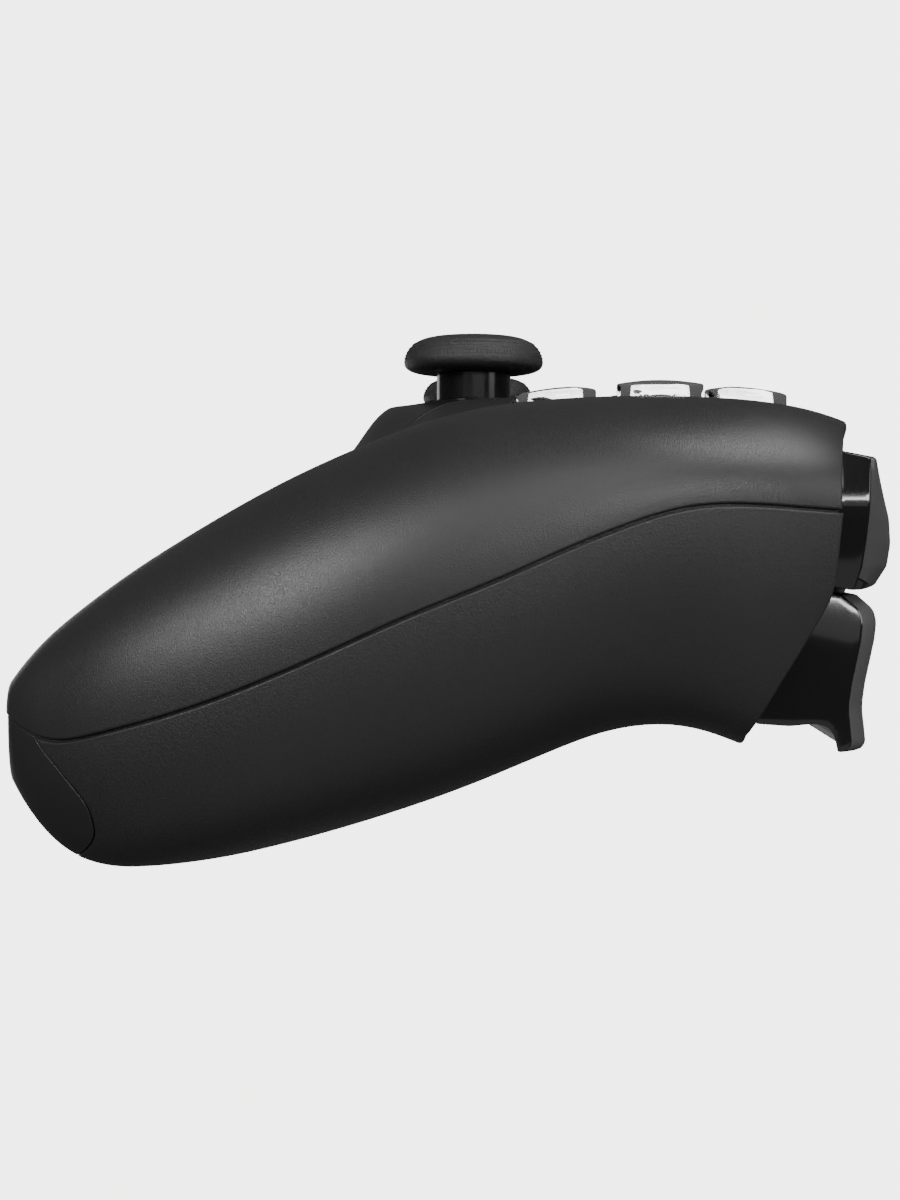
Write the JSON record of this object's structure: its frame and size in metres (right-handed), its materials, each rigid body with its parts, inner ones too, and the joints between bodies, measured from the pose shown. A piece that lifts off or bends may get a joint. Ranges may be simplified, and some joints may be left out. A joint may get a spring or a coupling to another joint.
{
  "type": "game controller",
  "caption": "Dark two-grip gamepad with thumbsticks, clear face buttons, direction keys, touchpad, bumpers and hinged triggers.",
  "frame": {"origin": "under the middle of the gamepad, level with the lowest point of the grips", "axes": "+X to the player's right, +Y away from the player towards the triggers, +Z out of the control face"},
  "size_m": [0.16, 0.1055, 0.066],
  "materials": {
    "charcoal_shell": "satin fine texture",
    "black_shell": "fine grip texture",
    "gloss_trim": "gloss",
    "pad": "fine texture",
    "light": "translucent",
    "clear_button": "clear",
    "dark_button": "satin",
    "shoulder": "satin gloss",
    "stick_rubber": "matte knurled rim",
    "stick_plastic": "gloss",
    "inner_plastic": "plain",
    "steel": "bright",
    "board": "solder mask",
    "cell": "wrapped",
    "membrane": "plain"
  },
  "bodies": {
    "pad_body": {"front_shell": "charcoal_shell", "rear_shell": "black_shell", "centre_trim": "gloss_trim", "left_light_guide": "light", "right_light_guide": "light", "left_stick_base": "inner_plastic", "right_stick_base": "inner_plastic", "main_board": "board", "battery": "cell", "battery_tray": "inner_plastic", "button_membrane": "membrane", "key_membrane": "membrane", "left_motor": "steel", "right_motor": "steel", "left_shoulder_frame": "inner_plastic", "right_shoulder_frame": "inner_plastic", "left_trigger_pin": "steel", "right_trigger_pin": "steel", "left_bumper_pin": "steel", "right_bumper_pin": "steel", "left_trigger_spring": "steel", "right_trigger_spring": "steel", "usb_port": "steel", "headset_jack": "inner_plastic", "speaker": "inner_plastic", "touchpad_switch": "inner_plastic", "left_front_screw": "steel", "right_front_screw": "steel", "left_grip_screw": "steel", "right_grip_screw": "steel"},
    "touchpad": {"touchpad": "pad"},
    "face_button_north": {"face_button_north": "clear_button"},
    "face_button_east": {"face_button_east": "clear_button"},
    "face_button_south": {"face_button_south": "clear_button"},
    "face_button_west": {"face_button_west": "clear_button"},
    "key_up": {"key_up": "clear_button"},
    "key_right": {"key_right": "clear_button"},
    "key_down": {"key_down": "clear_button"},
    "key_left": {"key_left": "clear_button"},
    "left_menu_button": {"left_menu_button": "dark_button"},
    "right_menu_button": {"right_menu_button": "dark_button"},
    "home_button": {"home_button": "dark_button"},
    "mute_button": {"mute_button": "dark_button"},
    "left_bumper": {"left_bumper": "shoulder"},
    "right_bumper": {"right_bumper": "shoulder"},
    "left_trigger": {"left_trigger": "shoulder"},
    "right_trigger": {"right_trigger": "shoulder"},
    "left_stick": {"left_stick_cap": "stick_rubber", "left_stick_stem": "stick_plastic"},
    "left_ring": {"left_cross_ring": "steel"},
    "left_rocker": {"left_arch": "steel"},
    "left_carriage": {"left_stick_carriage": "inner_plastic"},
    "right_stick": {"right_stick_cap": "stick_rubber", "right_stick_stem": "stick_plastic"},
    "right_ring": {"right_cross_ring": "steel"},
    "right_rocker": {"right_arch": "steel"},
    "right_carriage": {"right_stick_carriage": "inner_plastic"}
  },
  "joints": [
    {"name": "face_button_north_press", "type": "slide", "parent": "pad_body", "child": "face_button_north", "axis": [0, 0, 1], "range_m": [-0.0009, 0], "stiffness_N_per_m": 60, "springref_m": 0.004},
    {"name": "face_button_east_press", "type": "slide", "parent": "pad_body", "child": "face_button_east", "axis": [0, 0, 1], "range_m": [-0.0009, 0], "stiffness_N_per_m": 60, "springref_m": 0.004},
    {"name": "face_button_south_press", "type": "slide", "parent": "pad_body", "child": "face_button_south", "axis": [0, 0, 1], "range_m": [-0.0009, 0], "stiffness_N_per_m": 60, "springref_m": 0.004},
    {"name": "face_button_west_press", "type": "slide", "parent": "pad_body", "child": "face_button_west", "axis": [0, 0, 1], "range_m": [-0.0009, 0], "stiffness_N_per_m": 60, "springref_m": 0.004},
    {"name": "key_up_press", "type": "slide", "parent": "pad_body", "child": "key_up", "axis": [0, 0, 1], "range_m": [-0.0009, 0], "stiffness_N_per_m": 60, "springref_m": 0.004},
    {"name": "key_right_press", "type": "slide", "parent": "pad_body", "child": "key_right", "axis": [0, 0, 1], "range_m": [-0.0009, 0], "stiffness_N_per_m": 60, "springref_m": 0.004},
    {"name": "key_down_press", "type": "slide", "parent": "pad_body", "child": "key_down", "axis": [0, 0, 1], "range_m": [-0.0009, 0], "stiffness_N_per_m": 60, "springref_m": 0.004},
    {"name": "key_left_press", "type": "slide", "parent": "pad_body", "child": "key_left", "axis": [0, 0, 1], "range_m": [-0.0009, 0], "stiffness_N_per_m": 60, "springref_m": 0.004},
    {"name": "left_menu_button_press", "type": "slide", "parent": "pad_body", "child": "left_menu_button", "axis": [0, 0, 1], "range_m": [-0.0005, 0], "stiffness_N_per_m": 30, "springref_m": 0.004},
    {"name": "right_menu_button_press", "type": "slide", "parent": "pad_body", "child": "right_menu_button", "axis": [0, 0, 1], "range_m": [-0.0005, 0], "stiffness_N_per_m": 30, "springref_m": 0.004},
    {"name": "home_press", "type": "slide", "parent": "pad_body", "child": "home_button", "axis": [0, 0, 1], "range_m": [-0.0005, 0], "stiffness_N_per_m": 40, "springref_m": 0.004},
    {"name": "mute_press", "type": "slide", "parent": "pad_body", "child": "mute_button", "axis": [0, 0, 1], "range_m": [-0.0005, 0], "stiffness_N_per_m": 30, "springref_m": 0.004},
    {"name": "touchpad_click", "type": "hinge", "parent": "pad_body", "child": "touchpad", "pos_m": [0, 0.0502, 0.0485], "axis": [1, 0, 0], "range_deg": [0, 0.9], "stiffness_Nm_per_rad": 0.05, "springref_deg": -22.92},
    {"name": "left_bumper_press", "type": "hinge", "parent": "pad_body", "child": "left_bumper", "pos_m": [-0.05, 0.0425, 0.045], "axis": [1, 0, 0], "range_deg": [-3, 0], "stiffness_Nm_per_rad": 0.05, "springref_deg": 11.46},
    {"name": "left_trigger_pull", "type": "hinge", "parent": "pad_body", "child": "left_trigger", "pos_m": [-0.05, 0.04, 0.032], "axis": [1, 0, 0], "range_deg": [-16, 0], "stiffness_Nm_per_rad": 0.06, "springref_deg": 11.46},
    {"name": "left_stick_click", "type": "slide", "parent": "pad_body", "child": "left_carriage", "axis": [0, 0, 1], "range_m": [-0.0005, 0], "stiffness_N_per_m": 150, "springref_m": 0.01},
    {"name": "left_stick_tilt_x", "type": "hinge", "parent": "left_carriage", "child": "left_ring", "pos_m": [-0.031, 0.0019, 0.0465], "axis": [1, 0, 0], "range_deg": [-13, 13], "stiffness_Nm_per_rad": 0.03},
    {"name": "left_stick_tilt_y", "type": "hinge", "parent": "left_ring", "child": "left_stick", "pos_m": [-0.031, 0.0019, 0.0465], "axis": [0, 1, 0], "range_deg": [-13, 13], "stiffness_Nm_per_rad": 0.03},
    {"name": "left_rocker_turn", "type": "hinge", "parent": "left_carriage", "child": "left_rocker", "pos_m": [-0.031, 0.0019, 0.0465], "axis": [0, 1, 0], "range_deg": [-13.1, 13.1]},
    {"name": "right_bumper_press", "type": "hinge", "parent": "pad_body", "child": "right_bumper", "pos_m": [0.05, 0.0425, 0.045], "axis": [1, 0, 0], "range_deg": [-3, 0], "stiffness_Nm_per_rad": 0.05, "springref_deg": 11.46},
    {"name": "right_trigger_pull", "type": "hinge", "parent": "pad_body", "child": "right_trigger", "pos_m": [0.05, 0.04, 0.032], "axis": [1, 0, 0], "range_deg": [-16, 0], "stiffness_Nm_per_rad": 0.06, "springref_deg": 11.46},
    {"name": "right_stick_click", "type": "slide", "parent": "pad_body", "child": "right_carriage", "axis": [0, 0, 1], "range_m": [-0.0005, 0], "stiffness_N_per_m": 150, "springref_m": 0.01},
    {"name": "right_stick_tilt_x", "type": "hinge", "parent": "right_carriage", "child": "right_ring", "pos_m": [0.031, 0.0019, 0.0465], "axis": [1, 0, 0], "range_deg": [-13, 13], "stiffness_Nm_per_rad": 0.03},
    {"name": "right_stick_tilt_y", "type": "hinge", "parent": "right_ring", "child": "right_stick", "pos_m": [0.031, 0.0019, 0.0465], "axis": [0, 1, 0], "range_deg": [-13, 13], "stiffness_Nm_per_rad": 0.03},
    {"name": "right_rocker_turn", "type": "hinge", "parent": "right_carriage", "child": "right_rocker", "pos_m": [0.031, 0.0019, 0.0465], "axis": [0, 1, 0], "range_deg": [-13.1, 13.1]}
  ],
  "couplings": [
    {"joint": "left_rocker_turn", "follows": "left_stick_tilt_y", "ratio": 1},
    {"joint": "right_rocker_turn", "follows": "right_stick_tilt_y", "ratio": 1}
  ]
}
